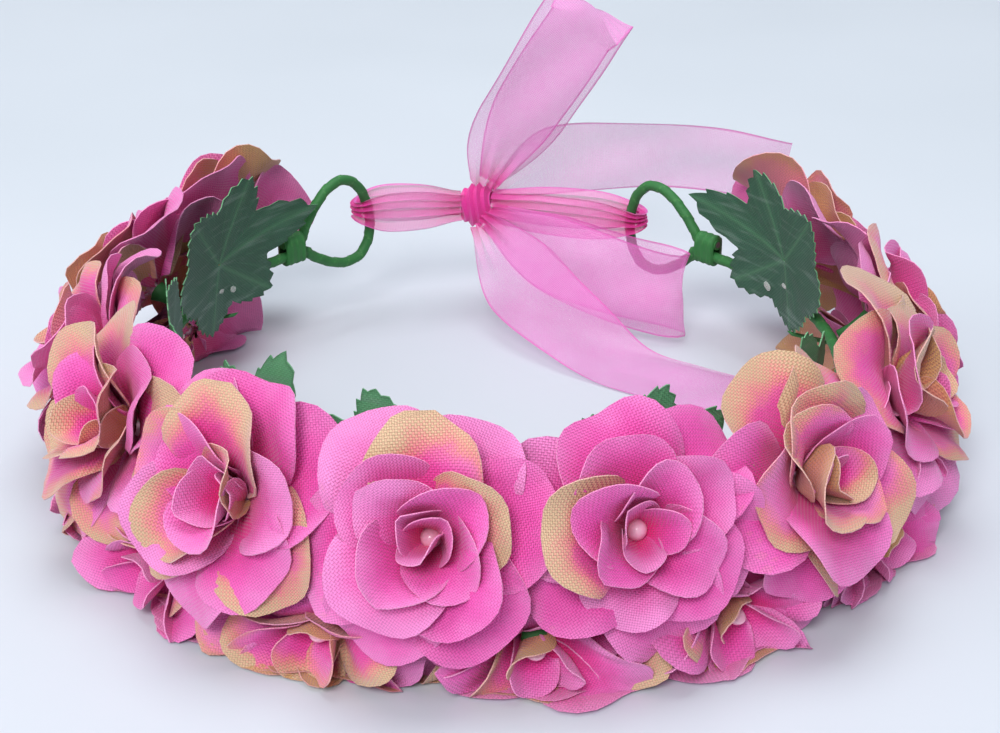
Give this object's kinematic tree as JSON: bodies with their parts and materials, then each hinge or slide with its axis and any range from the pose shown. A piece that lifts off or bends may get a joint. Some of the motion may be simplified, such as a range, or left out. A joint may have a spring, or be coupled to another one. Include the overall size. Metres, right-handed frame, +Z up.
{
  "type": "flower crown",
  "caption": "Open wire hoop crown covered in fabric roses and leaves, with an eyelet at each end and a sheer ribbon tied in a bow at the nape.",
  "frame": {"origin": "bottom centre of the box, on the table under the middle of the crown", "axes": "+Z up along the hoop's axis, -Y to the brow, +Y to the ribbon at the nape, +X to the right seen from the brow"},
  "size_m": [0.2396, 0.2312, 0.0972],
  "materials": {
    "wire": "drawn florist's wire",
    "floral_tape": "waxed crepe, wound in a spiral",
    "petals": "stiffened plain-woven satin, dip-dyed edges",
    "hearts": "stiffened plain-woven satin",
    "leaves": "stiffened plain-woven polyester, pressed veins",
    "ribbon": "sheer organza"
  },
  "bodies": {
    "crown": {"bow_knot": "ribbon", "eyelet_binding_left": "floral_tape", "eyelet_binding_right": "floral_tape", "floral_tape": "floral_tape", "hoop_wire": "wire", "leaf_left_back": "leaves", "leaf_left_brow": "leaves", "leaf_left_side": "leaves", "leaf_middle_brow": "leaves", "leaf_right_back": "leaves", "leaf_right_brow": "leaves", "leaf_right_side": "leaves", "lower_rose_01_heart": "hearts", "lower_rose_01_petals": "petals", "lower_rose_02_heart": "hearts", "lower_rose_02_petals": "petals", "lower_rose_03_heart": "hearts", "lower_rose_03_petals": "petals", "lower_rose_04_heart": "hearts", "lower_rose_04_petals": "petals", "lower_rose_05_heart": "hearts", "lower_rose_05_petals": "petals", "lower_rose_06_heart": "hearts", "lower_rose_06_petals": "petals", "lower_rose_07_heart": "hearts", "lower_rose_07_petals": "petals", "lower_rose_08_heart": "hearts", "lower_rose_08_petals": "petals", "lower_rose_09_heart": "hearts", "lower_rose_09_petals": "petals", "lower_rose_10_heart": "hearts", "lower_rose_10_petals": "petals", "ribbon_tie_left": "ribbon", "ribbon_tie_right": "ribbon", "upper_rose_01_heart": "hearts", "upper_rose_01_petals": "petals", "upper_rose_02_heart": "hearts", "upper_rose_02_petals": "petals", "upper_rose_03_heart": "hearts", "upper_rose_03_petals": "petals", "upper_rose_04_heart": "hearts", "upper_rose_04_petals": "petals", "upper_rose_05_heart": "hearts", "upper_rose_05_petals": "petals", "upper_rose_06_heart": "hearts", "upper_rose_06_petals": "petals", "upper_rose_07_heart": "hearts", "upper_rose_07_petals": "petals", "upper_rose_08_heart": "hearts", "upper_rose_08_petals": "petals", "upper_rose_09_heart": "hearts", "upper_rose_09_petals": "petals", "upper_rose_10_heart": "hearts", "upper_rose_10_petals": "petals", "upper_rose_11_heart": "hearts", "upper_rose_11_petals": "petals"},
    "upper_loop": {"bow_loop_upper": "ribbon"},
    "lower_loop": {"bow_loop_lower": "ribbon"},
    "front_tail": {"ribbon_tail_front": "ribbon"},
    "back_tail": {"ribbon_tail_back": "ribbon"}
  },
  "joints": [
    {"name": "upper_loop_lean", "type": "hinge", "parent": "crown", "child": "upper_loop", "pos_m": [-0.00701, 0.09292, 0.03247], "axis": [0, -1, 0], "range_deg": [-10, 25], "stiffness_Nm_per_rad": 0.01},
    {"name": "lower_loop_lift", "type": "hinge", "parent": "crown", "child": "lower_loop", "pos_m": [-0.00701, 0.09292, 0.03247], "axis": [-0.4238, -0.9058, 0], "range_deg": [0, 10]},
    {"name": "front_tail_lift", "type": "hinge", "parent": "crown", "child": "front_tail", "pos_m": [-0.00701, 0.09292, 0.03247], "axis": [-0.6571, -0.7538, 0], "range_deg": [0, 9]},
    {"name": "back_tail_lift", "type": "hinge", "parent": "crown", "child": "back_tail", "pos_m": [-0.00701, 0.09292, 0.03247], "axis": [0.1162, -0.9932, 0], "range_deg": [0, 15]}
  ]
}
